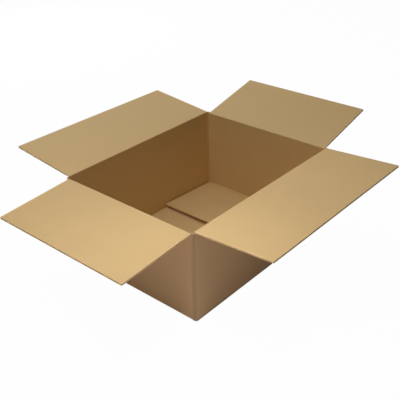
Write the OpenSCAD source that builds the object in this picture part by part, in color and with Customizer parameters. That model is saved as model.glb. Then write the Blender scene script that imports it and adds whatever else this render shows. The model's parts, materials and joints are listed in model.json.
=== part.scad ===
// Open shipping carton of the regular slotted kind, in single-wall corrugated board.
// One creased, slotted and glued sheet: the body has its bottom flaps folded shut,
// and four top flaps turn on the creases along the rim.
// Origin at the middle of the underside, +Z up, +X along the length.

/* [Inside of the carton] */
// Length between the two short walls
inside_length = 400; // [250:5:700]
// Width between the two long walls
inside_width = 305; // [200:5:500]
// Depth from the floor's inner flaps to the closed short flaps
inside_depth = 170; // [90:2:400]

/* [Board] */
// Thickness of the corrugated board
board = 3; // [2:0.5:5]
// Gap between two boards that lie on one another
ply_gap = 0.3; // [0.2:0.1:1]

/* [Flaps] */
// Gap between a flap's side edge and the wall that it folds past
side_gap = 2.5; // [1:0.5:6]
// Gap between the two long flaps where they meet, closed
meeting_gap = 2; // [1:0.5:12]
// Gap between a flap's side edge and the end of its slot
slot_gap = 0.5; // [0.3:0.1:2]
// How much more is cut off the right flap beside the glued corner
joint_trim = 2.5; // [0:0.5:8]

/* [Top creases] */
// Gap between the hinge line and the edges that meet on it
hinge_gap = 0.15; // [0.1:0.05:0.4]
// How far below level the thinned crease lets a flap hang
fold_back = 76; // [40:1:80]

/* [How far the top flaps stand above level] */
// Left flap, on a short wall
left_rise = -4; // [-40:0.5:80]
// Back flap, on a long wall
back_rise = 6; // [-40:0.5:80]
// Right flap, on a short wall
right_rise = 13; // [-40:0.5:80]
// Front flap, on a long wall
front_rise = 3.5; // [-40:0.5:80]

/* [How far the inner bottom flaps spring up] */
// Left inner bottom flap
left_spring = 1.5; // [0.5:0.1:6]
// Right inner bottom flap
right_spring = 2.8; // [0.5:0.1:6]

/* [Glued corner] */
// Width of the glue tab
tab_width = 35; // [20:1:60]
// Thickness of the glue tab, pressed flat
tab_board = 2; // [1:0.5:3]
// Slant of the glue tab's two ends
tab_slant = 15; // [5:1:25]
// Gap between the glue tab's ends and the creases
tab_end_gap = 6; // [3:1:15]
// Gap beside the cut edge that ends the sheet
joint_gap = 0.3; // [0.2:0.1:1]
// How far the cut edge stops short of the corner
joint_setback = 1; // [0.5:0.5:2]

/* [Tape under the bottom] */
// Width of the tape
tape_width = 50; // [30:1:75]
// Thickness of the tape
tape_thickness = 0.1; // [0.05:0.05:0.3]

/* [Hidden] */
$fn = 48;
kraft = [0.78, 0.63, 0.43];
clear_brown = [0.72, 0.56, 0.36];

half_length = inside_length / 2;
half_width = inside_width / 2;

// Crease lines: the outer bottom flaps lie lowest, the inner ones on top of them
floor_level = 2 * board + ply_gap;
// Hinge lines, in the middle of the board: the long flaps close over the short ones
short_rim = floor_level + inside_depth + board / 2;
long_rim = short_rim + board + ply_gap;
// A crease is mitred on the inside, and thinned on the outside over this length
crush_length = board / 2 / tan((90 - fold_back) / 2);
// The slots end level with the upper creases
slot_floor = long_rim - hinge_gap;

long_span = inside_length - 2 * side_gap;
short_span = inside_width - 2 * side_gap;
long_crease = long_span + 2 * slot_gap;
short_crease = short_span + 2 * slot_gap;
flap_length = half_width + board / 2 - meeting_gap / 2;
inner_flap_length = flap_length - board / 2;

tab_low = floor_level + tab_end_gap;
tab_high = rim_foot(short_rim) - tab_end_gap;
tab_taper = tab_width * tan(tab_slant);

// Reach of a cutter past the face that it cuts, and of a board into the one that it runs on from
over = 1;

// Height at which the mitre of a rim starts, below its hinge line
function rim_foot(rim) = rim - hinge_gap - board / 2;

// Turns a profile drawn in X and Z into a prism along Y, centred on the XZ plane
module along_y(length) {
    rotate([90, 0, 0])
        linear_extrude(length, center = true)
            children();
}

// Quarter of a board-thick fold about the origin, in the quadrant that the signs name
module quarter_fold(side_x, side_y) {
    intersection() {
        circle(board);
        translate([min(side_x, 0) * board, min(side_y, 0) * board])
            square(board);
    }
}

// The four walls from above: three folded corners and, at +X -Y, the glued one
module wall_plan() {
    translate([-half_length, half_width])
        square([inside_length, board]);
    translate([-half_length, -half_width - board])
        square([inside_length + board - joint_setback, board]);
    translate([-half_length - board, -half_width])
        square([board, inside_width]);
    translate([half_length, -half_width + joint_gap + board])
        square([board, inside_width - joint_gap - board]);
    translate([-half_length, -half_width])
        quarter_fold(-1, -1);
    translate([-half_length, half_width])
        quarter_fold(-1, 1);
    translate([half_length, half_width])
        quarter_fold(1, 1);
    translate([half_length, -half_width + joint_gap + board])
        quarter_fold(1, -1);
}

// Cutter for a wall above the foot of its rim, between the slots
module rim_room(half_inside, rim, span) {
    translate([half_inside - over, -span / 2, rim_foot(rim)])
        cube([board + 2 * over, span, slot_floor - rim_foot(rim) + over]);
}

// Walls between the slots below and above, cut away for the rims and where the inner bottom flaps fold in
module walls() {
    difference() {
        translate([0, 0, board])
            linear_extrude(slot_floor - board)
                wall_plan();
        for (side = [-1, 1])
            translate([side * (half_length + board / 2), 0, floor_level / 2])
                cube([board + 2 * over, short_span, floor_level], center = true);
        for (turn = [0, 180])
            rotate(turn)
                rim_room(half_length, short_rim, short_crease);
        for (turn = [90, 270])
            rotate(turn)
                rim_room(half_width, long_rim, long_crease);
    }
}

// Rim between the slots on a wall whose inner face lies at half_inside in X,
// mitred inwards so that its flap can close
module rim_mitre(half_inside, rim, span) {
    along_y(span)
        polygon([
            [half_inside, rim_foot(rim) - over],
            [half_inside + board, rim_foot(rim) - over],
            [half_inside + board, rim - hinge_gap],
            [half_inside + board / 2, rim - hinge_gap],
            [half_inside, rim_foot(rim)],
        ]);
}

// Cutter for the outside of a rim, so that its flap can hang down
module rim_crush(half_inside, rim, span) {
    along_y(span)
        polygon([
            [half_inside + board / 2, rim - hinge_gap],
            [half_inside + board / 2, rim + over],
            [half_inside + board + over, rim + over],
            [half_inside + board + over, rim - hinge_gap - crush_length],
            [half_inside + board, rim - hinge_gap - crush_length],
        ]);
}

// Fold from the foot of a +X wall into its bottom flap, about the wall's inner edge
module foot_fold() {
    quarter_fold(1, -1);
    square([board, over]);
}

// Inner bottom flap on the +X wall: folded in on its crease and sprung up from there
module inner_bottom_flap(spring) {
    along_y(short_span)
        translate([half_length, floor_level]) {
            foot_fold();
            polygon([
                [0, 0],
                [0, -board],
                board * [-sin(spring), -cos(spring)],
                board * [-sin(spring), -cos(spring)] + inner_flap_length * [-cos(spring), sin(spring)],
                inner_flap_length * [-cos(spring), sin(spring)],
            ]);
        }
}

// Outer bottom flap on the +X side of its own frame, flat on the ground and flush with the tape
module outer_bottom_flap() {
    along_y(long_span)
        difference() {
            union() {
                translate([half_width, board])
                    foot_fold();
                translate([meeting_gap / 2, 0])
                    square([half_width - meeting_gap / 2, board]);
            }
            translate([0, -over])
                square([tape_width / 2, tape_thickness + over]);
        }
}

// Glue tab: runs on from the +X wall and lies inside the -Y wall, pressed into it
module glue_tab() {
    translate([0, -half_width + (tab_board - over) / 2, 0])
        along_y(tab_board + over)
            polygon([
                [half_length + over, tab_low],
                [half_length + over, tab_high],
                [half_length, tab_high],
                [half_length - tab_width, tab_high - tab_taper],
                [half_length - tab_width, tab_low + tab_taper],
                [half_length, tab_low],
            ]);
}

module carton_body() {
    color(kraft)
        difference() {
            union() {
                walls();
                glue_tab();
                for (turn = [0, 180])
                    rotate(turn)
                        rim_mitre(half_length, short_rim, short_crease);
                for (turn = [90, 270])
                    rotate(turn) {
                        rim_mitre(half_width, long_rim, long_crease);
                        outer_bottom_flap();
                    }
                inner_bottom_flap(right_spring);
                rotate(180)
                    inner_bottom_flap(left_spring);
            }
            for (turn = [0, 180])
                rotate(turn)
                    rim_crush(half_length, short_rim, short_crease);
            for (turn = [90, 270])
                rotate(turn)
                    rim_crush(half_width, long_rim, long_crease);
        }
}

// Top flap from its hinge line outwards, level: mitred above and thinned below at its root
module flap_board(span) {
    along_y(span)
        polygon([
            [hinge_gap, 0],
            [hinge_gap + crush_length, -board / 2],
            [flap_length, -board / 2],
            [flap_length, board / 2],
            [hinge_gap + board / 2, board / 2],
        ]);
}

// Top flap on the wall that faces the way it is turned to, with its -Y side cut back by trim
module top_flap(turn, half_inside, rim, span, rise, trim = 0) {
    color(kraft)
        rotate(turn)
            translate([half_inside + board / 2, trim / 2, rim])
                rotate([0, -rise, 0])
                    flap_board(span - trim);
}

module right_flap() {
    top_flap(0, half_length, short_rim, short_span, right_rise, joint_trim);
}

module back_flap() {
    top_flap(90, half_width, long_rim, long_span, back_rise);
}

module left_flap() {
    top_flap(180, half_length, short_rim, short_span, left_rise);
}

module front_flap() {
    top_flap(270, half_width, long_rim, long_span, front_rise);
}

// Tape across the seam of the outer bottom flaps
module bottom_tape() {
    color(clear_brown)
        translate([0, 0, tape_thickness / 2])
            cube([long_span, tape_width, tape_thickness], center = true);
}

carton_body();
left_flap();
back_flap();
right_flap();
front_flap();
bottom_tape();
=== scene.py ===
"""Looks of an open shipping carton: the folded body, four top flaps and the tape under the bottom.

The carton is one sheet of corrugated board, two kraft papers on a fluted medium, that is creased, slotted and
folded. Sizes are in metres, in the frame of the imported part. The papers are patterned on the flat sheet that
the carton was cut from, so fibres and flutes run on across the folds.
"""

import json
import logging
import math
from contextlib import contextmanager
from dataclasses import dataclass
from enum import Enum
from typing import Callable, Iterator

import bmesh
import bpy
from mathutils import Color, Matrix, Vector


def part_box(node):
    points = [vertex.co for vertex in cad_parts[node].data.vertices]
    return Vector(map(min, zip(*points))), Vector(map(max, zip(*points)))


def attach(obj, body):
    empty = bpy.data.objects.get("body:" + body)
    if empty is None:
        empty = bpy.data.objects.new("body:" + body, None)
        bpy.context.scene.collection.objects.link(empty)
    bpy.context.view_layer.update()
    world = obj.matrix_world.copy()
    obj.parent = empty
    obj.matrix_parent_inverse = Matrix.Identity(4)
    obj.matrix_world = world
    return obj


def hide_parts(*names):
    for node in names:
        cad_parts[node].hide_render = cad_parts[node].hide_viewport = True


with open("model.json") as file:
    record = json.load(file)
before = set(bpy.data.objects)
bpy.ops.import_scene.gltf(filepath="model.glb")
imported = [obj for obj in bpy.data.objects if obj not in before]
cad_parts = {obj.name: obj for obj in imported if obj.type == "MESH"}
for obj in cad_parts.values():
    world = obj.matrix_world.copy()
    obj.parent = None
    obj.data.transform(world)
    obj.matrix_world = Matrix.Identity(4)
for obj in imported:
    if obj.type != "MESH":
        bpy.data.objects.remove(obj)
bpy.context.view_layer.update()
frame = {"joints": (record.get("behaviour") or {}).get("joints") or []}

LOG = logging.getLogger("carton")
SHEET_MAP = "sheet"

AXIS_X = Vector((1, 0, 0))
AXIS_Y = Vector((0, 1, 0))
AXIS_Z = Vector((0, 0, 1))

# Measures that differ by less are the same
NEAR = 2e-5
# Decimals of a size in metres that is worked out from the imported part
DECIMALS = 6
# A face whose normal rises or falls by less than this is upright
UPRIGHT = 0.1
# A face whose normal has more than this share one way faces that way
FACING = 0.9
# Faces that meet at a shallower angle are shaded as one
SHALLOW = math.radians(32)
# Degrees from a flap that lies level outside to one that is shut
HALF_TURN = 180

Piece = bpy.types.Object
Material = bpy.types.Material
Face = bpy.types.MeshPolygon
Tree = bpy.types.NodeTree
Socket = bpy.types.NodeSocket
PointTest = Callable[[bmesh.types.BMVert], bool]
EdgeTest = Callable[[Vector, Vector], bool]
FaceTest = Callable[[Vector, Vector], bool]
SheetPlace = Callable[[Face, Vector], tuple[float, float]]
Triple = tuple[float, float, float]
Colour = tuple[int, int, int]


class Side(Enum):
    """A side of the carton, by the turn in degrees that takes the right one there."""

    RIGHT = 0
    BACK = 90
    LEFT = 180
    FRONT = 270

    @property
    def is_short(self) -> bool:
        """Whether it is one of the two short walls."""
        return self in (Side.RIGHT, Side.LEFT)

    @property
    def flap(self) -> str:
        """Name of the top flap's node and body."""
        return f"{self.name.lower()}_flap"

    @property
    def crease(self) -> str:
        """Name of the joint along the rim."""
        return f"{self.name.lower()}_crease"

    @property
    def turn(self) -> Matrix:
        """Rotation from the right side to this one."""
        return Matrix.Rotation(math.radians(self.value), 4, "Z")

    def local(self, point: Vector) -> Vector:
        """A point of the carton as it would lie if this side were the right one."""
        return self.turn.inverted() @ point

    def turned(self, step: Vector) -> Vector:
        """A step on the right side as it goes on this one."""
        return self.turn.to_3x3() @ step


class Paper(Enum):
    """The papers of the board, by material slot."""

    INNER_LINER = 0
    OUTER_LINER = 1
    CUT_EDGE = 2
    MEDIUM = 3


class Pick(Enum):
    """What is picked in an open mesh, by the operator's own word."""

    POINTS = "VERT"
    EDGES = "EDGE"
    FACES = "FACE"


def joint(name: str) -> dict:
    """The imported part's joint of a name."""
    return next(each for each in frame["joints"] if each["name"] == name)


@dataclass(frozen=True)
class Board:
    """Make-up of the corrugated board.

    Args:
        thickness: over both liners
        liner: thickness of each liner
        medium: thickness of the fluted paper
        pitch: width of one flute
        groove: depth to which a cut edge is seen into
        draft: how much a cut edge's groove narrows with its depth, each way
    """

    thickness: float
    liner: float = 0.00034
    medium: float = 0.00024
    pitch: float = 0.0064
    groove: float = 0.0006
    draft: float = 0.000034

    @property
    def half(self) -> float:
        """Half the thickness."""
        return self.thickness / 2


@dataclass(frozen=True)
class Carton:
    """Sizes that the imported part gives, and those that its creases and flaps are cut to.

    Args:
        board: make-up of the board
        half_length: from the middle to a short wall's mid-board plane
        half_width: from the middle to a long wall's mid-board plane
        short_rim: height of the short flaps' hinge lines
        long_rim: height of the long flaps' hinge lines
        short_span: width of the left flap along its crease
        long_span: width of a long flap along its crease
        joint_trim: how much narrower the right flap is, beside the glued corner
        slot_gap: gap between a flap's side and the end of its slot
        meeting_gap: gap between two long flaps where they meet
        hinge_gap: gap between a hinge line and the edges that meet on it
        crush: length over which a crease is thinned on the outside
        ply_gap: gap between boards that lie on one another
        knife: what is left of a thinned board on its hinge line, each way
    """

    board: Board
    half_length: float
    half_width: float
    short_rim: float
    long_rim: float
    short_span: float
    long_span: float
    joint_trim: float
    slot_gap: float = 0.0005
    meeting_gap: float = 0.002
    hinge_gap: float = 0.00015
    crush: float = 0.0122
    ply_gap: float = 0.0003
    knife: float = 0.0001

    @classmethod
    def of_frame(cls) -> "Carton":
        """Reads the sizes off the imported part.

        Returns:
            the carton's sizes
        """
        short = joint(Side.RIGHT.crease)["pos_m"]
        long = joint(Side.BACK.crease)["pos_m"]
        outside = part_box("carton_body")[1].x
        flap_span = {side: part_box(side.flap)[1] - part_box(side.flap)[0] for side in Side}
        return cls(
            board=Board(thickness=round(2 * (outside - short[0]), DECIMALS)),
            half_length=short[0],
            half_width=long[1],
            short_rim=short[2],
            long_rim=long[2],
            short_span=flap_span[Side.LEFT].y,
            long_span=flap_span[Side.BACK].x,
            joint_trim=flap_span[Side.LEFT].y - flap_span[Side.RIGHT].y,
        )

    @property
    def flap_length(self) -> float:
        """Length of the top flaps and of the outer bottom flaps, from their creases."""
        return self.half_width - self.meeting_gap / 2

    @property
    def slot_floor(self) -> float:
        """Height at which the slots between the top flaps end, level with the upper creases."""
        return self.long_rim - self.hinge_gap

    @property
    def inner_floor(self) -> float:
        """Height of the inner bottom flaps' mid-board plane at their creases."""
        return self.board.thickness + self.ply_gap + self.board.half

    def reach(self, side: Side) -> float:
        """From the middle to a side's mid-board plane."""
        return self.half_length if side.is_short else self.half_width

    def half_panel(self, side: Side) -> float:
        """Half a side's width along the sheet, between its upright folds."""
        return self.half_width if side.is_short else self.half_length

    def span(self, side: Side) -> float:
        """Width of a side's flaps along their creases, before any trim."""
        return self.short_span if side.is_short else self.long_span

    def crease(self, side: Side) -> float:
        """Length of a side's crease between the slots."""
        return self.span(side) + 2 * self.slot_gap

    def rim(self, side: Side) -> float:
        """Height of a side's hinge line."""
        return self.short_rim if side.is_short else self.long_rim

    def hinge(self, side: Side) -> Matrix:
        """The move to a side's hinge line, if the side were the right one."""
        return Matrix.Translation((self.reach(side), 0, self.rim(side)))

    def rise(self, side: Side) -> float:
        """How far a flap stands above level, in radians: it shuts level, at its joint's upper limit."""
        return math.radians(HALF_TURN - joint(side.crease)["range_deg"][1])

    def sheet_middle(self, side: Side) -> float:
        """Where a side's middle lies along the flat sheet, counted from the glued corner."""
        before = [2 * self.half_panel(each) for each in Side if each.value < side.value]
        return sum(before) + self.half_panel(side)

    def sheet_folds(self) -> list[float]:
        """Where the upright folds lie along the flat sheet."""
        return [self.sheet_middle(side) - self.half_panel(side) for side in Side]


def near(first: float, second: float) -> bool:
    """Whether two measures are the same."""
    return abs(first - second) < NEAR


def deselect() -> None:
    """Leaves no object selected."""
    bpy.ops.object.select_all(action="DESELECT")


def choose(*pieces: Piece) -> None:
    """Selects pieces and nothing else, and makes the first one active.

    Args:
        *pieces: the pieces
    """
    deselect()
    for piece in pieces:
        piece.select_set(True)
    bpy.context.view_layer.objects.active = pieces[0]


def add_block(name: str, low: Vector, high: Vector) -> Piece:
    """Adds a cube primitive that fills a box.

    Args:
        name: name of the new object
        low: lowest corner of the box
        high: highest corner of the box

    Returns:
        the block, with its place in its mesh
    """
    deselect()
    bpy.ops.mesh.primitive_cube_add(size=1, location=(low + high) / 2)
    block = bpy.context.active_object
    block.name = name
    block.scale = high - low
    bpy.ops.object.transform_apply(location=True, rotation=True, scale=True)
    return block


def wear(piece: Piece, finishes: list[Material]) -> None:
    """Gives a new piece its material slots, in order."""
    for finish in finishes:
        piece.data.materials.append(finish)


def place(piece: Piece, matrix: Matrix) -> None:
    """Moves a piece and puts the move into its mesh.

    Args:
        piece: the piece, with its mesh about the origin
        matrix: the move
    """
    choose(piece)
    piece.matrix_world = matrix
    bpy.ops.object.transform_apply(location=True, rotation=True, scale=True)


def join(piece: Piece, *others: Piece) -> None:
    """Makes other objects part of a piece's mesh."""
    choose(piece, *others)
    bpy.ops.object.join()


@contextmanager
def editing(piece: Piece) -> Iterator[None]:
    """Opens a piece in edit mode with nothing selected, and closes it at the end.

    Args:
        piece: the piece
    """
    choose(piece)
    bpy.ops.object.mode_set(mode="EDIT")
    bpy.ops.mesh.select_all(action="DESELECT")
    yield
    bpy.ops.object.mode_set(mode="OBJECT")


def open_mesh(piece: Piece, pick: Pick) -> bmesh.types.BMesh:
    """Sets what is picked in an open mesh, and leaves nothing picked.

    Args:
        piece: a piece in edit mode
        pick: what is picked next

    Returns:
        the open mesh
    """
    bpy.ops.mesh.select_mode(type=pick.value)
    bpy.ops.mesh.select_all(action="DESELECT")
    return bmesh.from_edit_mesh(piece.data)


def pick_points(piece: Piece, test: PointTest) -> None:
    """Selects the points of an open mesh that pass a test.

    Args:
        piece: a piece in edit mode
        test: the test of a point
    """
    mesh = open_mesh(piece, Pick.POINTS)
    for point in mesh.verts:
        point.select_set(test(point))
    mesh.select_flush(True)
    bmesh.update_edit_mesh(piece.data)


def pick_edges(piece: Piece, test: EdgeTest) -> None:
    """Selects the edges of an open mesh that pass a test.

    Args:
        piece: a piece in edit mode
        test: the test of an edge's two ends
    """
    mesh = open_mesh(piece, Pick.EDGES)
    for edge in mesh.edges:
        edge.select_set(test(edge.verts[0].co, edge.verts[1].co))
    bmesh.update_edit_mesh(piece.data)


def pick_faces(piece: Piece, test: FaceTest) -> None:
    """Selects the faces of an open mesh that pass a test.

    Args:
        piece: a piece in edit mode
        test: the test of a face's middle and normal
    """
    mesh = open_mesh(piece, Pick.FACES)
    mesh.normal_update()
    for face in mesh.faces:
        face.select_set(test(face.calc_center_median(), face.normal))
    bmesh.update_edit_mesh(piece.data)


def cut(point: Vector, normal: Vector) -> None:
    """Cuts the whole open mesh along a plane.

    Args:
        point: a point on the plane
        normal: the plane's normal
    """
    bpy.ops.mesh.select_all(action="SELECT")
    bpy.ops.mesh.bisect(plane_co=point, plane_no=normal)
    bpy.ops.mesh.select_all(action="DESELECT")


def move(step: Vector) -> None:
    """Moves what is selected in the open mesh."""
    bpy.ops.transform.translate(value=step)


def draw_out(step: Vector) -> None:
    """Extrudes the selected edges of the open mesh."""
    bpy.ops.mesh.extrude_edges_move(TRANSFORM_OT_translate={"value": step})


def open_cut_edge(board: Board) -> None:
    """Sinks the selected cut faces between the two liners, so that the edge can be seen into."""
    bpy.ops.mesh.inset(thickness=board.liner, depth=0, use_even_offset=True)
    bpy.ops.mesh.inset(thickness=board.draft, depth=-board.groove, use_even_offset=True)


def apply_modifiers(piece: Piece) -> None:
    """Applies a piece's modifiers in their order.

    Args:
        piece: the piece
    """
    choose(piece)
    for name in [modifier.name for modifier in piece.modifiers]:
        bpy.ops.object.modifier_apply(modifier=name)


def smooth(piece: Piece) -> None:
    """Shades a piece smooth across its shallow angles."""
    choose(piece)
    bpy.ops.object.shade_smooth_by_angle(angle=SHALLOW)


def lay_out(piece: Piece, sheet_place: SheetPlace) -> None:
    """Gives a piece its place on the flat sheet, as its UV map.

    Args:
        piece: the piece
        sheet_place: finds where a point of a face lies on the sheet
    """
    mesh = piece.data
    sheet = mesh.uv_layers.new(name=SHEET_MAP)
    for face in mesh.polygons:
        for index in face.loop_indices:
            point = mesh.vertices[mesh.loops[index].vertex_index].co
            sheet.data[index].uv = sheet_place(face, point)


def flute_strip(board: Board, span: float, papers: list[Material], name: str) -> Piece:
    """Makes the fluted medium that shows in a cut edge: one flute is shaped, then repeated along the edge.

    Args:
        board: make-up of the board
        span: length of the edge
        papers: materials of the board's papers, in slot order
        name: name of the new object

    Returns:
        the strip, with the edge along Y at the origin and the board behind it, towards -X
    """
    count = round(span / board.pitch)
    pitch = span / count
    start = -span / 2
    depth = board.groove + board.liner
    deselect()
    bpy.ops.mesh.primitive_grid_add(
        x_subdivisions=1, y_subdivisions=4, size=1, location=(-depth / 2, start + pitch / 2, 0))
    strip = bpy.context.active_object
    strip.name = name
    wear(strip, papers)
    strip.scale = (depth, pitch, 1)
    bpy.ops.object.transform_apply(location=True, rotation=True, scale=True)
    subdivision_keeps = 0.75
    lift = (board.half - board.liner - board.medium / 2) / subdivision_keeps
    with editing(strip):
        for quarter, height in ((1, lift), (3, -lift)):
            pick_points(strip, lambda point: near(point.co.y, start + quarter * pitch / 4))
            move(AXIS_Z * height)
    row = strip.modifiers.new("row", "ARRAY")
    row.use_relative_offset = False
    row.use_constant_offset = True
    row.constant_offset_displace = (0, pitch, 0)
    row.count = count
    row.use_merge_vertices = True
    wave = strip.modifiers.new("wave", "SUBSURF")
    wave.levels = wave.render_levels = 1
    wave.boundary_smooth = "PRESERVE_CORNERS"
    sheet = strip.modifiers.new("sheet", "SOLIDIFY")
    sheet.thickness = board.medium
    sheet.offset = 0
    apply_modifiers(strip)
    for face in strip.data.polygons:
        face.material_index = Paper.MEDIUM.value
    return strip


@dataclass
class TopFlap:
    """One top flap: a board that is thinned below at its crease, with open cut edges.

    Args:
        carton: sizes of the carton
        side: the wall that carries it
        papers: materials of the board's papers, in slot order
        corner: radius to which its free corners are worn
    """

    carton: Carton
    side: Side
    papers: list[Material]
    corner: float = 0.0016

    @property
    def crush_end(self) -> float:
        """Where the thinned crease ends, from the hinge line."""
        return self.carton.hinge_gap + self.carton.crush

    def build(self) -> Piece:
        """Models the flap level, with its hinge line on the Y axis, and puts it on its wall.

        Returns:
            the flap's mesh object
        """
        carton, board, side = self.carton, self.carton.board, self.side
        trim = carton.joint_trim if side is Side.RIGHT else 0.0
        span = carton.span(side) - trim
        low = Vector((carton.hinge_gap, trim - carton.span(side) / 2, -board.half))
        high = Vector((carton.flap_length, carton.span(side) / 2, board.half))
        flap = add_block(f"{side.flap}_board", low, high)
        wear(flap, self.papers)
        with editing(flap):
            cut(AXIS_X * self.crush_end, AXIS_X)
            pick_points(flap, lambda point: near(point.co.x, low.x) and point.co.z < 0)
            move(AXIS_Z * (board.half - carton.knife))
            pick_edges(flap, lambda start, end: near(start.x, high.x) and near(end.x, high.x)
                       and near(start.y, end.y))
            bpy.ops.mesh.bevel(offset=self.corner, segments=3)
            pick_faces(flap, lambda middle, normal: abs(normal.z) < UPRIGHT and middle.x > self.crush_end)
            open_cut_edge(board)
        self.sort_papers(flap)
        strip = flute_strip(board, span - 2 * board.groove, self.papers, f"{side.flap}_flutes")
        place(strip, Matrix.Translation((carton.flap_length, trim / 2, 0)))
        join(flap, strip)
        along, up = carton.sheet_middle(side), carton.rim(side)
        lay_out(flap, lambda face, point: (along + point.y, up + point.x))
        smooth(flap)
        place(flap, side.turn @ carton.hinge(side) @ Matrix.Rotation(-carton.rise(side), 4, "Y"))
        return flap

    def sort_papers(self, flap: Piece) -> None:
        """Gives the faces of the level flap their papers.

        Args:
            flap: the flap, before its flutes are joined to it
        """
        skin = self.carton.board.half - self.carton.board.liner / 2
        for face in flap.data.polygons:
            sunk = abs(face.center.z) < skin and face.center.x > self.crush_end
            paper = Paper.INNER_LINER if face.normal.z > 0 else Paper.OUTER_LINER
            if sunk or abs(face.normal.z) < UPRIGHT:
                paper = Paper.CUT_EDGE
            face.material_index = paper.value

    def dress(self, flap: Piece) -> None:
        """Hangs the flap on its body, in the place of its solid.

        Args:
            flap: the flap
        """
        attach(flap, self.side.flap)
        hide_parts(self.side.flap)


@dataclass
class CartonBody:
    """The folded and glued sheet below the top flaps: first its mid-board surface, then its board.

    Args:
        carton: sizes of the carton
        papers: materials of the board's papers, in slot order
        fold_radius: radius of the upright and bottom folds, mid-board
        springs: how far the inner bottom flaps spring up, in degrees
        tab_width: width of the glue tab
        tab_slant: slant of the glue tab's ends, in degrees
        tab_end_gap: gap between the glue tab's ends and the creases
        tab_thin: thickness of the pressed glue tab, as a share of the board's
        joint_gap: gap beside the cut edge that ends the sheet
        joint_setback: how far that edge stops short of the corner
        tape_room: room that the tape takes below the bottom flaps
        floor_rise: height above the inner flaps' creases below which the floor lies
        floor_margin: width along the walls that isn't floor, inside their mid-board planes
        roll_sides: number of flat faces round a rolled fold
        roll_past: how far a rolled fold stands past its flap's sides, each way
        roll_wrap: outward share of the normal up to which a rolled fold wears the inner paper
    """

    carton: Carton
    papers: list[Material]
    fold_radius: float = 0.002
    springs: tuple[tuple[Side, float], ...] = ((Side.LEFT, 1.5), (Side.RIGHT, 2.8))
    tab_width: float = 0.035
    tab_slant: float = 15
    tab_end_gap: float = 0.006
    tab_thin: float = 0.67
    joint_gap: float = 0.0003
    joint_setback: float = 0.001
    tape_room: float = 0.00012
    floor_rise: float = 0.012
    floor_margin: float = 0.004
    roll_sides: int = 32
    roll_past: float = 0.0001
    roll_wrap: float = 0.2

    @property
    def inner_length(self) -> float:
        """Length of an inner bottom flap from its crease."""
        return self.carton.flap_length - self.carton.board.half

    @property
    def outer_floor(self) -> float:
        """Height of the outer bottom flaps' mid-board plane."""
        return self.carton.board.half + self.tape_room

    @property
    def ply_level(self) -> float:
        """Height between the outer bottom flaps and the inner ones on top of them."""
        return self.carton.board.thickness + self.tape_room + self.carton.ply_gap / 2

    @property
    def short_top(self) -> float:
        """Height at which the short walls end, below their hinge lines."""
        return self.carton.short_rim - self.carton.hinge_gap

    @property
    def tab_plane(self) -> float:
        """Place in Y of the glue tab's mid-board plane, behind the front wall."""
        return -self.carton.half_width + self.carton.board.thickness + self.joint_gap

    @property
    def tab_low(self) -> float:
        """Height of the glue tab's lower end at its fold."""
        return self.carton.inner_floor + self.carton.board.half + self.tab_end_gap

    @property
    def tab_high(self) -> float:
        """Height of the glue tab's upper end at its fold."""
        return self.short_top - self.carton.board.half - self.tab_end_gap

    def taper_start(self, side: Side) -> float:
        """Height at which a wall starts to thin towards its crease."""
        return self.carton.rim(side) - self.carton.hinge_gap - self.carton.crush

    def sprung(self, side: Side) -> Vector:
        """The way that an inner bottom flap runs from its crease, if its side were the right one."""
        spring = math.radians(dict(self.springs)[side])
        return Vector((-math.cos(spring), 0, math.sin(spring)))

    def build(self) -> Piece:
        """Folds the sheet, gives it its thickness and finishes its rims and edges.

        Returns:
            the body's mesh object
        """
        carton = self.carton
        low = Vector((-carton.half_length, -carton.half_width, carton.inner_floor))
        high = Vector((carton.half_length, carton.half_width, self.short_top))
        body = add_block("carton_body_board", low, high)
        wear(body, self.papers)
        with editing(body):
            self.crease_walls(body)
            self.fold_glue_tab(body)
            self.draw_up(body)
            for side in Side:
                self.fold_bottom_flap(body, side)
            self.round_folds(body)
            self.face_outwards(body)
        self.thicken(body)
        with editing(body):
            for side in Side:
                self.crush_rim(body, side)
            self.open_inner_flaps(body)
        self.sort_papers(body)
        join(body, *[self.make_roll(side) for side in Side], *self.make_flutes())
        lay_out(body, self.sheet_place)
        smooth(body)
        return body

    def crease_walls(self, body: Piece) -> None:
        """Opens the block at both ends and marks out the slots, creases and glue tab on its walls.

        Args:
            body: the block, in edit mode
        """
        carton = self.carton
        pick_faces(body, lambda middle, normal: abs(normal.z) > FACING)
        bpy.ops.mesh.delete(type="ONLY_FACE")
        for side, axis in ((Side.BACK, AXIS_X), (Side.RIGHT, AXIS_Y)):
            for off in (carton.span(side) / 2, carton.crease(side) / 2):
                cut(axis * off, axis)
                cut(-axis * off, axis)
        tapers = [self.taper_start(side) for side in (Side.RIGHT, Side.BACK)]
        for height in (*tapers, self.tab_low, self.tab_high):
            cut(AXIS_Z * height, AXIS_Z)

    def fold_glue_tab(self, body: Piece) -> None:
        """Parts the walls at the glued corner and folds the tab in behind the front wall.

        Args:
            body: the creased walls, in edit mode
        """
        carton, board = self.carton, self.carton.board
        corner = Vector((carton.half_length, -carton.half_width, 0))

        def at_corner(point: Vector) -> bool:
            """Whether a point is on the corner's upright."""
            return near(point.x, corner.x) and near(point.y, corner.y)

        def on_fold(point: Vector) -> bool:
            """Whether a point is on the tab's fold, between its ends."""
            on_upright = near(point.x, corner.x) and near(point.y, self.tab_plane)
            return on_upright and self.tab_low - NEAR < point.z < self.tab_high + NEAR

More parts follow.
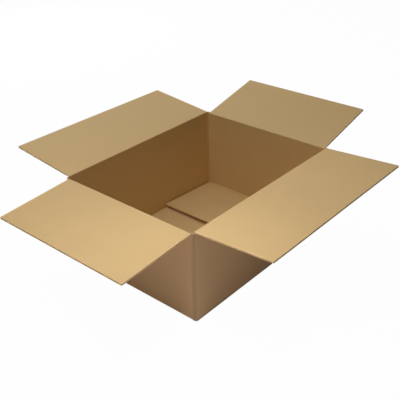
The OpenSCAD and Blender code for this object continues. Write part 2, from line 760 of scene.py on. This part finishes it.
        pick_edges(body, lambda start, end: at_corner(start) and at_corner(end))
        bpy.ops.mesh.edge_split(type="EDGE")
        front_step = AXIS_X * (board.half - self.joint_setback)
        right_step = AXIS_Y * (self.tab_plane - corner.y)
        for normal, step in ((AXIS_Y, front_step), (AXIS_X, right_step)):
            pick_points(body, lambda point: at_corner(point.co) and all(
                abs(face.normal.dot(normal)) > FACING for face in point.link_faces))
            move(step)
        pick_edges(body, lambda start, end: on_fold(start) and on_fold(end))
        draw_out(-AXIS_X * (self.tab_width + board.half))
        height = self.tab_high - self.tab_low
        slant = 1 - 2 * self.tab_width * math.tan(math.radians(self.tab_slant)) / height
        end = Vector((corner.x - self.tab_width, self.tab_plane, (self.tab_low + self.tab_high) / 2))
        bpy.ops.transform.resize(value=(1, 1, slant), center_override=end)

    def draw_up(self, body: Piece) -> None:
        """Draws the long walls and the corners up past the short walls' rims to the slots' floor.

        Args:
            body: the walls, in edit mode
        """
        top = self.short_top
        slots_apart = self.carton.crease(Side.RIGHT)
        pick_edges(body, lambda start, end: near(start.z, top) and near(end.z, top)
                   and abs(start.y + end.y) > slots_apart)
        draw_out(AXIS_Z * (self.carton.slot_floor - top))

    def fold_bottom_flap(self, body: Piece, side: Side) -> None:
        """Folds in a bottom flap from the foot of its wall: a short one springs up, a long one lies flat.

        Args:
            body: the walls, in edit mode
            side: the wall
        """
        carton = self.carton
        edge = carton.span(side) / 2 + NEAR

        def on_foot(point: Vector) -> bool:
            """Whether a point is on the wall's bottom edge between the slots."""
            own = side.local(point)
            return near(own.x, carton.reach(side)) and abs(own.y) < edge and near(own.z, carton.inner_floor)

        pick_edges(body, lambda start, end: on_foot(start) and on_foot(end))
        if side.is_short:
            step = self.sprung(side) * (self.inner_length + carton.board.half)
        else:
            draw_out(AXIS_Z * (self.outer_floor - carton.inner_floor))
            step = -AXIS_X * carton.flap_length
        draw_out(side.turned(step))

    def round_folds(self, body: Piece) -> None:
        """Rounds the upright folds and the bottom creases of the sheet.

        Args:
            body: the folded surface, in edit mode
        """
        carton = self.carton
        edge = carton.short_span / 2 + NEAR

        def on_fold(start: Vector, end: Vector) -> bool:
            """Whether an edge lies along an upright fold or a bottom crease.

            Args:
                start: one end of the edge
                end: its other end

            Returns:
                whether it does
            """
            if near(start.x, end.x) and near(start.y, end.y):
                corner = near(abs(start.x), carton.half_length) and near(abs(start.y), carton.half_width)
                return corner or (near(start.x, carton.half_length) and near(start.y, self.tab_plane))
            ends = (start, end)
            short = all(near(abs(point.x), carton.half_length) and near(point.z, carton.inner_floor)
                        and abs(point.y) < edge for point in ends)
            long = all(near(abs(point.y), carton.half_width) and near(point.z, self.outer_floor)
                       for point in ends)
            return short or long

        pick_edges(body, on_fold)
        bpy.ops.mesh.bevel(offset=self.fold_radius, segments=4, clamp_overlap=False)

    def face_outwards(self, body: Piece) -> None:
        """Turns the faces of the sheet the same way, with the walls' outsides outwards.

        Args:
            body: the folded surface, in edit mode
        """
        bpy.ops.mesh.select_all(action="SELECT")
        bpy.ops.mesh.normals_make_consistent(inside=False)
        mesh = bmesh.from_edit_mesh(body.data)
        mesh.normal_update()
        wall = max(mesh.faces, key=lambda face: face.calc_area() * (abs(face.normal.z) < UPRIGHT))
        if wall.normal.dot(wall.calc_center_median()) < 0:
            bpy.ops.mesh.flip_normals()

    def thicken(self, body: Piece) -> None:
        """Gives the folded surface the board's thickness, its two liners and its cut edges.

        Args:
            body: the folded surface
        """
        pressed = body.vertex_groups.new(name="board")
        for point in body.data.vertices:
            on_tab = near(point.co.y, self.tab_plane) and point.co.x < self.carton.half_length
            pressed.add([point.index], self.tab_thin if on_tab else 1.0, "REPLACE")
        for face in body.data.polygons:
            face.material_index = Paper.OUTER_LINER.value
        board = body.modifiers.new("board", "SOLIDIFY")
        board.thickness = self.carton.board.thickness
        board.offset = 0
        board.use_quality_normals = True
        board.vertex_group = pressed.name
        board.material_offset = Paper.INNER_LINER.value - Paper.OUTER_LINER.value
        board.material_offset_rim = Paper.CUT_EDGE.value - Paper.OUTER_LINER.value
        apply_modifiers(body)
        body.vertex_groups.clear()

    def crush_rim(self, body: Piece, side: Side) -> None:
        """Thins a wall's outside towards its hinge line.

        Args:
            body: the board, in edit mode
            side: the wall
        """
        carton, half = self.carton, self.carton.board.half
        start, top = self.taper_start(side), carton.rim(side) - carton.hinge_gap
        edge = carton.span(side) / 2 + NEAR
        inward = side.turned(-AXIS_X)

        def in_row(point: Vector, height: float) -> bool:
            """Whether a point lies on the outer face at a height, between the slots."""
            own = side.local(point)
            return near(own.x, carton.reach(side) + half) and near(own.z, height) and abs(own.y) < edge

        for height in (self.taper_start(Side.BACK), self.tab_high, self.short_top, carton.slot_floor):
            if start + NEAR < height < top + NEAR:
                pick_points(body, lambda point: in_row(point.co, height))
                move(inward * (half - carton.knife) * (height - start) / (top - start))

    def open_inner_flaps(self, body: Piece) -> None:
        """Opens the cut edges of the inner bottom flaps, which face the middle of the floor.

        Args:
            body: the board, in edit mode
        """
        carton, board = self.carton, self.carton.board
        limit = carton.half_length - self.inner_length + board.thickness
        for side, _ in self.springs:
            pick_faces(body, lambda middle, normal: side.local(normal).x < -FACING
                       and 0 < side.local(middle).x < limit
                       and board.thickness < middle.z < carton.slot_floor / 2)
            open_cut_edge(board)

    def sort_papers(self, body: Piece) -> None:
        """Gives the opened edges the cut edge's paper, and the slots' pressed floors the outer one.

        Args:
            body: the board, before its rolls and flutes are joined to it
        """
        carton, board = self.carton, self.carton.board
        mouth = carton.half_length - self.inner_length + 2 * board.groove
        side_edge = (carton.short_span - board.liner) / 2
        for face in body.data.polygons:
            middle = face.center
            at_mouth = abs(middle.x) < mouth and abs(middle.y) < side_edge
            if at_mouth and self.ply_level < middle.z < carton.slot_floor / 2:
                face.material_index = Paper.CUT_EDGE.value
            elif face.normal.z > FACING and middle.z > carton.short_rim - board.thickness:
                face.material_index = Paper.OUTER_LINER.value

    def make_roll(self, side: Side) -> Piece:
        """Makes the rolled fold along a hinge line, as thick as the board, round which its flap turns.

        Args:
            side: the wall

        Returns:
            the rolled fold, to be joined to the body
        """
        carton = self.carton
        deselect()
        bpy.ops.mesh.primitive_cylinder_add(
            vertices=self.roll_sides, radius=carton.board.half, depth=carton.span(side) + 2 * self.roll_past)
        roll = bpy.context.active_object
        wear(roll, self.papers)
        place(roll, side.turn @ carton.hinge(side) @ Matrix.Rotation(math.radians(90), 4, "X"))
        for face in roll.data.polygons:
            inside = side.local(face.normal).x < self.roll_wrap
            face.material_index = (Paper.INNER_LINER if inside else Paper.OUTER_LINER).value
        return roll

    def make_flutes(self) -> list[Piece]:
        """Makes the fluted medium in the inner bottom flaps' cut edges.

        Returns:
            the strips, to be joined to the body
        """
        carton, board = self.carton, self.carton.board
        crease = Vector((carton.half_length, 0, carton.inner_floor))
        strips = []
        for side, _ in self.springs:
            out = self.sprung(side)
            up = Vector((out.z, 0, -out.x))
            name = f"{side.name.lower()}_bottom_flutes"
            strip = flute_strip(board, carton.short_span - 2 * board.liner, self.papers, name)
            axes = Matrix((out, -AXIS_Y, up)).transposed().to_4x4()
            tip = Matrix.Translation(crease + out * (self.inner_length + board.half))
            place(strip, side.turn @ tip @ axes)
            strips.append(strip)
        return strips

    def panel(self, face: Face) -> Side:
        """Finds the side of the carton that a face's board belongs to.

        Args:
            face: a face of the body

        Returns:
            the side
        """
        middle = face.center
        to_short = self.carton.half_length - abs(middle.x)
        to_long = self.carton.half_width - abs(middle.y)
        low = middle.z < self.carton.inner_floor + self.floor_rise
        on_floor = low and min(to_short, to_long) > self.floor_margin
        on_short = middle.z > self.ply_level if on_floor else to_short < to_long
        if on_short:
            return Side.RIGHT if middle.x > 0 else Side.LEFT
        return Side.BACK if middle.y > 0 else Side.FRONT

    def sheet_place(self, face: Face, point: Vector) -> tuple[float, float]:
        """Finds where a point of the body lies on the flat sheet.

        Args:
            face: the face that the point is a corner of
            point: the point

        Returns:
            its places along and across the sheet
        """
        side = self.panel(face)
        own = side.local(point)
        folded_in = max(0.0, self.carton.reach(side) - self.carton.board.half - own.x)
        return self.carton.sheet_middle(side) + own.y, own.z - folded_in

    def dress(self, body: Piece) -> None:
        """Puts the board on the carton's fixed body, in the place of its solid.

        Args:
            body: the board
        """
        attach(body, "carton")
        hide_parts("carton_body")


@dataclass
class BottomTape:
    """The strip of tape across the seam of the outer bottom flaps, torn off on a toothed blade.

    Args:
        tooth: width of one tooth of the blade
        bite: depth of the teeth
    """

    tooth: float = 0.0025
    bite: float = 0.0012

    def build(self) -> Piece:
        """Models the strip in the place of its solid.

        Returns:
            the tape's mesh object
        """
        low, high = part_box("bottom_tape")
        tape = add_block("bottom_tape_strip", low, high)
        teeth = round((high.y - low.y) / self.tooth)
        step = (high.y - low.y) / (2 * teeth)
        with editing(tape):
            pick_edges(tape, lambda start, end: near(start.x, end.x) and near(start.z, end.z))
            bpy.ops.mesh.subdivide(number_cuts=2 * teeth - 1)
            for end, inward in ((low.x, AXIS_X), (high.x, -AXIS_X)):
                pick_points(tape, lambda point: near(point.co.x, end)
                            and round((point.co.y - low.y) / step) % 2 == 1)
                move(inward * self.bite)
        lay_out(tape, lambda face, point: (point.x, point.y))
        return tape

    def dress(self, tape: Piece, finish: Material) -> None:
        """Gives the tape its finish and puts it on the carton's fixed body.

        Args:
            tape: the strip
            finish: the tape's material
        """
        wear(tape, [finish])
        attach(tape, "carton")
        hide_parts("bottom_tape")


@dataclass(frozen=True)
class Grain:
    """Fineness of a noise on the flat sheet.

    Args:
        along: features a metre along the sheet
        across: features a metre across it
        detail: number of finer layers
    """

    along: float
    across: float
    detail: float


FIBRE_STREAKS = Grain(240, 1100, 6)
PULP_CLOUDS = Grain(16, 22, 4)
DARK_FLECKS = Grain(420, 1500, 2)
PALE_FLECKS = Grain(300, 1300, 2)
FLUTE_DRIFT = Grain(9, 5, 2)
FLUTE_STRENGTH = Grain(11, 14, 2)
FILM_STREAKS = Grain(6, 420, 3)
FILM_BUBBLES = Grain(90, 160, 2)


@dataclass(frozen=True)
class FoldMark:
    """A line of painted shade or painted highlight beside a fold.

    Args:
        name: name of the output that carries it
        offset: how far beside the fold its middle lies
        core: half the width at its full strength
        edge: half the width at which it fades out
    """

    name: str
    offset: float
    core: float
    edge: float


# Painted shade on the upright folds, painted shade of a score groove on one side, and a painted highlight on
# the other
UPRIGHT_MARKS = (
    FoldMark("Fold", 0.0, 0.0014, 0.0026),
    FoldMark("Score", -0.0034, 0.0003, 0.0013),
    FoldMark("Shine", 0.0052, 0.0003, 0.0016),
)
# Painted shade along the bottom folds, where the carton meets the floor
FOOT_SHADE_MARK = FoldMark("Foot", 0.0015, 0.002, 0.0045)


def linear(colour: Colour) -> tuple[float, ...]:
    """A colour as it is seen, in 8-bit steps, as the linear one that shaders take."""
    seen = Color([step / 255 for step in colour])
    return tuple(seen.from_srgb_to_scene_linear())


class Graph:
    """A node tree that is wired up step by step."""

    def __init__(self, tree: Tree) -> None:
        """Takes over a tree and clears it."""
        self.tree = tree
        tree.nodes.clear()

    def feed(self, socket: Socket, value: object) -> None:
        """Links an output to a socket, or sets the socket's own value.

        Args:
            socket: an input
            value: an output of another node, or a plain value
        """
        if isinstance(value, Socket):
            self.tree.links.new(value, socket)
        else:
            socket.default_value = value

    def node(self, kind: str, inputs: dict[str | int, object], **settings: object) -> bpy.types.Node:
        """Adds a node.

        Args:
            kind: kind of shader node
            inputs: what its inputs are fed, by their names or numbers
            **settings: its properties

        Returns:
            the node
        """
        made = self.tree.nodes.new(f"ShaderNode{kind}")
        for name, value in settings.items():
            setattr(made, name, value)
        for name, value in inputs.items():
            self.feed(made.inputs[name], value)
        return made

    def math(self, operation: str, *values: object) -> Socket:
        """Adds a Math node and gives its result."""
        return self.node("Math", dict(enumerate(values)), operation=operation).outputs[0]

    def stretch(self, vector: Socket, scale: Triple) -> Socket:
        """Scales a vector."""
        return self.node("VectorMath", {0: vector, 1: scale}, operation="MULTIPLY").outputs[0]

    def noise(self, vector: Socket, grain: Grain) -> Socket:
        """Adds a noise that runs from about -1 to 1.

        Args:
            vector: the place on the sheet
            grain: fineness of the noise

        Returns:
            the noise
        """
        middle, gain = 0.5, 3.0
        spot = self.stretch(vector, (grain.along, grain.across, 1))
        made = self.node("TexNoise", {"Vector": spot, "Scale": 1.0, "Detail": grain.detail},
                         noise_dimensions="3D")
        return self.math("MULTIPLY", self.math("SUBTRACT", made.outputs["Fac"], middle), gain)

    def ramp(self, value: Socket, low: float, high: float) -> Socket:
        """Maps a range onto 0 to 1, smoothly and clamped.

        Args:
            value: the value
            low: what becomes 0
            high: what becomes 1

        Returns:
            the mapped value
        """
        made = self.node("MapRange", {"Value": value, "From Min": low, "From Max": high},
                         interpolation_type="SMOOTHSTEP")
        return made.outputs["Result"]

    def apart(self, value: Socket, other: float) -> Socket:
        """How far apart two values are."""
        return self.math("ABSOLUTE", self.math("SUBTRACT", value, other))

    def line(self, away: Socket, mark: FoldMark) -> Socket:
        """A fold mark's strength, at a distance away from its middle."""
        return self.math("SUBTRACT", 1.0, self.ramp(away, mark.core, mark.edge))


class Pattern(Graph):
    """A shader node group that reads the place on the sheet and puts out values."""

    def __init__(self, name: str, outputs: tuple[str, ...]) -> None:
        """Starts the group.

        Args:
            name: name of the group
            outputs: names of its outputs
        """
        super().__init__(bpy.data.node_groups.new(name, "ShaderNodeTree"))
        self.tree.interface.new_socket("Sheet", in_out="INPUT", socket_type="NodeSocketVector")
        for output in outputs:
            self.tree.interface.new_socket(output, in_out="OUTPUT", socket_type="NodeSocketFloat")
        self.sheet = self.tree.nodes.new("NodeGroupInput").outputs["Sheet"]
        self.target = self.tree.nodes.new("NodeGroupOutput")

    def put_out(self, name: str, value: Socket) -> None:
        """Makes a value one of the group's outputs."""
        self.feed(self.target.inputs[name], value)

    def places(self) -> tuple[Socket, Socket]:
        """The places along and across the sheet."""
        split = self.node("SeparateXYZ", {0: self.sheet})
        return split.outputs["X"], split.outputs["Y"]


def fibre_group() -> Tree:
    """Makes the pulp fibres: streaks along the sheet, clouds of pulp, and dark and pale flecks.

    Returns:
        the group
    """
    group = Pattern("kraft_fibres", ("Streak", "Cloud", "Fleck", "Pale"))
    group.put_out("Streak", group.noise(group.sheet, FIBRE_STREAKS))
    group.put_out("Cloud", group.noise(group.sheet, PULP_CLOUDS))
    group.put_out("Fleck", group.ramp(group.noise(group.sheet, DARK_FLECKS), low=0.72, high=0.95))
    other_way = group.stretch(group.sheet, (-1, -1, 1))
    group.put_out("Pale", group.ramp(group.noise(other_way, PALE_FLECKS), low=0.7, high=1.0))
    return group.tree


def flute_group(pitch: float) -> Tree:
    """Makes the flutes that show through a liner, as a ripple along the sheet.

    Args:
        pitch: width of one flute

    Returns:
        the group
    """
    drift_share = 0.9
    group = Pattern("flutes_showing", ("Ripple",))
    along, _ = group.places()
    phase = group.math("MULTIPLY", along, 2 * math.pi / pitch)
    drift = group.math("MULTIPLY", group.noise(group.sheet, FLUTE_DRIFT), drift_share)
    wave = group.math("SINE", group.math("ADD", phase, drift))
    strength = group.ramp(group.noise(group.sheet, FLUTE_STRENGTH), low=-1.2, high=1.0)
    group.put_out("Ripple", group.math("MULTIPLY", wave, strength))
    return group.tree


def mark_group(folds: list[float]) -> Tree:
    """Makes the painted shade and painted highlights beside the folds.

    They are painted shade on the upright folds, a score line on one side of them that is painted shade of its
    groove, a painted highlight on the other, and painted shade along the foot, where the carton meets the
    floor.

    Args:
        folds: where the upright folds lie along the sheet

    Returns:
        the group
    """
    group = Pattern("fold_marks", (*[mark.name for mark in UPRIGHT_MARKS], FOOT_SHADE_MARK.name))
    along, up = group.places()
    for mark in UPRIGHT_MARKS:
        away = 1.0
        for fold in folds:
            away = group.math("MINIMUM", away, group.apart(along, fold + mark.offset))
        group.put_out(mark.name, group.line(away, mark))
    group.put_out(FOOT_SHADE_MARK.name, group.line(group.apart(up, FOOT_SHADE_MARK.offset), FOOT_SHADE_MARK))
    return group.tree


@dataclass(frozen=True)
class PaperPatterns:
    """Shader node groups that the papers share.

    Args:
        fibres: the pulp fibres
        flutes: the flutes that show
        marks: the painted shade and painted highlight beside the folds
    """

    fibres: Tree
    flutes: Tree
    marks: Tree

    @classmethod
    def of_carton(cls, carton: Carton) -> "PaperPatterns":
        """Makes the groups for a carton's sheet."""
        return cls(fibre_group(), flute_group(carton.board.pitch), mark_group(carton.sheet_folds()))


class SheetMaterial:
    """A material that is patterned on the flat sheet."""

    def __init__(self, name: str) -> None:
        """Starts the material.

        Args:
            name: name of the material
        """
        self.material = bpy.data.materials.new(name)
        self.material.use_nodes = True
        self.graph = Graph(self.material.node_tree)
        self.sheet = self.graph.node("UVMap", {}, uv_map=SHEET_MAP).outputs["UV"]

    def pattern(self, tree: Tree) -> bpy.types.NodeOutputs:
        """Lays a shared node group on the sheet and gives its outputs."""
        return self.graph.node("Group", {"Sheet": self.sheet}, node_tree=tree).outputs

    def finish(self, colour: Colour, shade: Socket, roughness: Socket, specular: float,
               height: Socket, relief: float) -> Material:
        """Wires up the surface.

        Args:
            colour: its colour
            shade: what the colour is multiplied by
            roughness: its roughness
            specular: strength of its reflection
            height: its relief, as a share
            relief: height of a whole share, in metres

        Returns:
            the material
        """
        graph = self.graph
        tint = graph.node("VectorMath", {0: linear(colour), "Scale": shade}, operation="SCALE")
        bump = graph.node("Bump", {"Strength": 1.0, "Distance": relief, "Height": height})
        surface = graph.node("BsdfPrincipled", {
            "Base Color": tint.outputs[0],
            "Roughness": roughness,
            "Specular IOR Level": specular,
            "Normal": bump.outputs["Normal"],
        })
        graph.node("OutputMaterial", {"Surface": surface.outputs[0]})
        return self.material


@dataclass(frozen=True)
class KraftFinish:
    """Finish of one paper of the board.

    Args:
        name: name of the material
        colour: the paper's colour
        streak: how much the fibre streaks change its shade
        cloud: how much the pulp's clouds change its shade
        ripple: how much the flutes show
        fleck: how strongly dark stray fibres show, and pale ones half as much
        fold: how much painted shade darkens the paper on the upright folds
        score: how dark the painted shade of the score grooves beside them is
        shine: how pale the painted highlight on their other side is
        foot: how much painted shade darkens the paper along the bottom folds
        roughness: roughness of the paper
        roughness_change: how much the fibre streaks change it
        specular: strength of its reflection
        relief: height of the fibres, in metres
        flute_relief: height of the flutes, in fibre heights
        score_relief: depth of the score lines, in fibre heights
    """

    name: str
    colour: Colour
    streak: float = 0.035
    cloud: float = 0.02
    ripple: float = 0.012
    fleck: float = 0.22
    fold: float = 0.0
    score: float = 0.0
    shine: float = 0.0
    foot: float = 0.0
    roughness: float = 0.82
    roughness_change: float = 0.05
    specular: float = 0.25
    relief: float = 0.000025
    flute_relief: float = 0.6
    score_relief: float = 2.0

    def make(self, patterns: PaperPatterns) -> Material:
        """Builds the paper's material.

        Args:
            patterns: the shared node groups

        Returns:
            the material
        """
        base = SheetMaterial(self.name)
        graph = base.graph
        fibres = base.pattern(patterns.fibres)
        flutes = base.pattern(patterns.flutes)
        marks = base.pattern(patterns.marks)
        shade = 1.0
        for mask, amount in (
            (fibres["Streak"], self.streak),
            (fibres["Cloud"], self.cloud),
            (flutes["Ripple"], self.ripple),
            (fibres["Fleck"], -self.fleck),
            (fibres["Pale"], self.fleck / 2),
            # Painted shade on the folds, score grooves and foot, and a painted highlight beside the folds
            (marks["Fold"], -self.fold),
            (marks["Score"], -self.score),
            (marks["Shine"], self.shine),
            (marks["Foot"], -self.foot),
        ):
            shade = graph.math("MULTIPLY_ADD", mask, amount, shade)
        roughness = graph.math("MULTIPLY_ADD", fibres["Streak"], self.roughness_change, self.roughness)
        height = graph.math("MULTIPLY_ADD", flutes["Ripple"], self.flute_relief, fibres["Streak"])
        height = graph.math("MULTIPLY_ADD", marks["Score"], -self.score_relief, height)
        return base.finish(self.colour, shade, roughness, self.specular, height, self.relief)


# Besides colour and grain, the inner liner has a painted highlight and faint painted shade of score grooves
# beside its folds, and the outer liner painted shade on its folds, score grooves and foot
PAPERS = {
    Paper.INNER_LINER: KraftFinish("inner_liner", (211, 178, 124), streak=0.025, score=0.04, shine=0.2),
    Paper.OUTER_LINER: KraftFinish("outer_liner", (214, 175, 132), fold=0.33, score=0.26, foot=0.6),
    Paper.CUT_EDGE: KraftFinish("cut_edge", (240, 209, 160), streak=0.09, fleck=0.3, roughness=0.9),
    Paper.MEDIUM: KraftFinish("fluted_medium", (226, 193, 146), streak=0.06, ripple=0.0, roughness=0.9),
}


@dataclass(frozen=True)
class TapeFinish:
    """Finish of the brown packing tape.

    Args:
        name: name of the material
        colour: colour of the film on the board
        streak: how much the drawn film's streaks change its shade
        roughness: roughness of the film
        roughness_change: how much the bubbles under it change it
        specular: strength of its reflection
        relief: height of the film's ripples, in metres
    """

    name: str = "brown_tape"
    colour: Colour = (176, 134, 84)
    streak: float = 0.06
    roughness: float = 0.28
    roughness_change: float = 0.06
    specular: float = 0.5
    relief: float = 0.00003

    def make(self) -> Material:
        """Builds the tape's material.

        Returns:
            the material
        """
        base = SheetMaterial(self.name)
        graph = base.graph
        streaks = graph.noise(base.sheet, FILM_STREAKS)
        bubbles = graph.noise(base.sheet, FILM_BUBBLES)
        shade = graph.math("MULTIPLY_ADD", streaks, self.streak, 1.0)
        roughness = graph.math("MULTIPLY_ADD", bubbles, self.roughness_change, self.roughness)
        height = graph.math("ADD", streaks, bubbles)
        return base.finish(self.colour, shade, roughness, self.specular, height, self.relief)


@dataclass(frozen=True)
class Lamp:
    """A soft lamp: a square softbox, or a round spot with a soft edge.

    Args:
        name: name of the lamp
        place: where it stands, in metres
        size: length of the softbox's sides, or width of the spot's glass
        power: power in watts
        aim: the point that it looks at
        cone: width of a spot's beam in degrees, or nothing for a softbox
    """

    name: str
    place: Triple
    size: float
    power: float
    aim: Triple = (0.0, 0.0, 0.0)
    cone: float | None = None

    def light(self) -> None:
        """Puts the lamp in the scene, where the camera doesn't see it."""
        if self.cone is None:
            data = bpy.data.lights.new(self.name, "AREA")
            data.shape = "SQUARE"
            data.size = self.size
        else:
            data = bpy.data.lights.new(self.name, "SPOT")
            data.spot_size = math.radians(self.cone)
            data.spot_blend = 1.0
            data.shadow_soft_size = self.size / 2
        data.energy = self.power
        lamp = bpy.data.objects.new(self.name, data)
        lamp.visible_camera = False
        lamp.location = self.place
        lamp.rotation_euler = (Vector(self.aim) - Vector(self.place)).to_track_quat("-Z", "Y").to_euler()
        bpy.context.scene.collection.objects.link(lamp)


@dataclass
class Studio:
    """Camera, floor and soft light.

    Args:
        eye: where the camera stands, in metres
        azimuth: the way that the camera looks, in degrees from +Y
        elevation: how far it looks down, in degrees
        roll: how far it leans to the left, in degrees
        lens: its focal length, in millimetres
        film_width: width of its picture frame, in millimetres
        floor_size: length of the floor's sides
        floor_drop: how far the floor lies below the carton
        floor_shade: reflectance of the floor
        floor_glow: share of plain white in what the camera sees of the floor
        lamps: the lamps
    """

    eye: Triple = (-0.86864, -0.75913, 0.75490)
    azimuth: float = -48.593
    elevation: float = 29.646
    roll: float = 1.366
    lens: float = 60.67
    film_width: float = 36.0
    floor_size: float = 14.0
    floor_drop: float = 0.0004
    floor_shade: float = 0.85
    floor_glow: float = 0.98
    lamps: tuple[Lamp, ...] = (
        Lamp("back_softbox", (0.8, 1.8, 0.8), 0.9, 18.6),
        Lamp("top_softbox", (0.0, 0.0, 1.5), 0.8, 4.7),
        Lamp("top_back_softbox", (0.9, 0.9, 1.5), 0.8, 4.4),
        Lamp("left_top_softbox", (-0.5, 0.0, 0.8), 0.4, 1.75),
        Lamp("low_bounce", (-1.2, -0.4, 0.1), 0.2, 0.5),
        Lamp("front_bounce", (-0.3, -1.2, 0.1), 0.2, 0.21),
        Lamp("corner_bounce", (-0.55, -0.5, 0.07), 0.12, 0.39),
        Lamp("near_spot", (-0.35, -0.28, 1.3), 0.2, 14.6, aim=(-0.33, -0.24, 0.18), cone=30),
        Lamp("front_spot", (0.0, -0.3, 1.3), 0.2, 6.2, aim=(0.0, -0.23, 0.18), cone=30),
        Lamp("front_left_spot", (-0.2, -0.3, 1.3), 0.2, 3.0, aim=(-0.2, -0.23, 0.18), cone=22),
        Lamp("left_spot", (-0.35, 0.0, 1.3), 0.2, 6.3, aim=(-0.3, 0.0, 0.18), cone=24),
    )

    def set_camera(self) -> None:
        """Makes the camera at the photograph's angle."""
        data = bpy.data.cameras.new("camera")
        data.lens = self.lens
        data.sensor_width = self.film_width
        data.sensor_fit = "HORIZONTAL"
        camera = bpy.data.objects.new("camera", data)
        pose = Matrix.Translation(self.eye)
        for degrees, axis in ((self.azimuth, "Z"), (90 - self.elevation, "X"), (-self.roll, "Z")):
            pose = pose @ Matrix.Rotation(math.radians(degrees), 4, axis)
        camera.matrix_world = pose
        bpy.context.scene.collection.objects.link(camera)
        bpy.context.scene.camera = camera

    @staticmethod
    def seen(graph: Graph) -> Socket:
        """Makes a mask of the rays that show the background: straight, mirrored or through glass.

        Args:
            graph: the graph to add it to

        Returns:
            the mask
        """
        rays = graph.node("LightPath", {}).outputs
        mirrored = graph.math("MAXIMUM", rays["Is Glossy Ray"], rays["Is Transmission Ray"])
        return graph.math("MAXIMUM", rays["Is Camera Ray"], mirrored)

    def lay_floor(self) -> None:
        """Makes the pale floor, which keeps the carton's shadow under a veil of plain white."""
        deselect()
        bpy.ops.mesh.primitive_plane_add(size=self.floor_size, location=(0, 0, -self.floor_drop))
        floor = bpy.context.active_object
        floor.name = "floor"
        material = bpy.data.materials.new("pale_floor")
        material.use_nodes = True
        graph = Graph(material.node_tree)
        matt = graph.node("BsdfDiffuse", {"Color": (*[self.floor_shade] * 3, 1)})
        white = graph.node("Emission", {"Color": (1, 1, 1, 1), "Strength": 1.0})
        share = graph.math("MULTIPLY", self.seen(graph), self.floor_glow)
        veil = graph.node("MixShader", {0: share, 1: matt.outputs[0], 2: white.outputs[0]})
        graph.node("OutputMaterial", {"Surface": veil.outputs[0]})
        wear(floor, [material])

    def set_backdrop(self) -> None:
        """Makes the backdrop: plain white where it shows, and no light on the carton."""
        world = bpy.data.worlds.new("studio")
        bpy.context.scene.world = world
        world.use_nodes = True
        graph = Graph(world.node_tree)
        white = graph.node("Background", {"Color": (1, 1, 1, 1), "Strength": self.seen(graph)})
        graph.node("OutputWorld", {"Surface": white.outputs[0]})

    def set_up(self) -> None:
        """Sets up the whole studio."""
        self.set_camera()
        self.lay_floor()
        self.set_backdrop()
        for lamp in self.lamps:
            lamp.light()
        bpy.context.scene.view_settings.view_transform = "Standard"


def main() -> None:
    """Builds and dresses the carton and sets up the studio."""
    logging.basicConfig(level=logging.INFO, format="%(name)s: %(message)s")
    carton = Carton.of_frame()
    patterns = PaperPatterns.of_carton(carton)
    papers = [PAPERS[paper].make(patterns) for paper in Paper]
    body = CartonBody(carton, papers)
    pieces = [body.build()]
    body.dress(pieces[0])
    for side in Side:
        flap = TopFlap(carton, side, papers)
        board = flap.build()
        flap.dress(board)
        pieces.append(board)
    tape = BottomTape()
    strip = tape.build()
    tape.dress(strip, TapeFinish().make())
    pieces.append(strip)
    for piece in pieces:
        LOG.info("%s: %d faces", piece.name, len(piece.data.polygons))
    Studio().set_up()


if __name__ == "__main__":
    main()
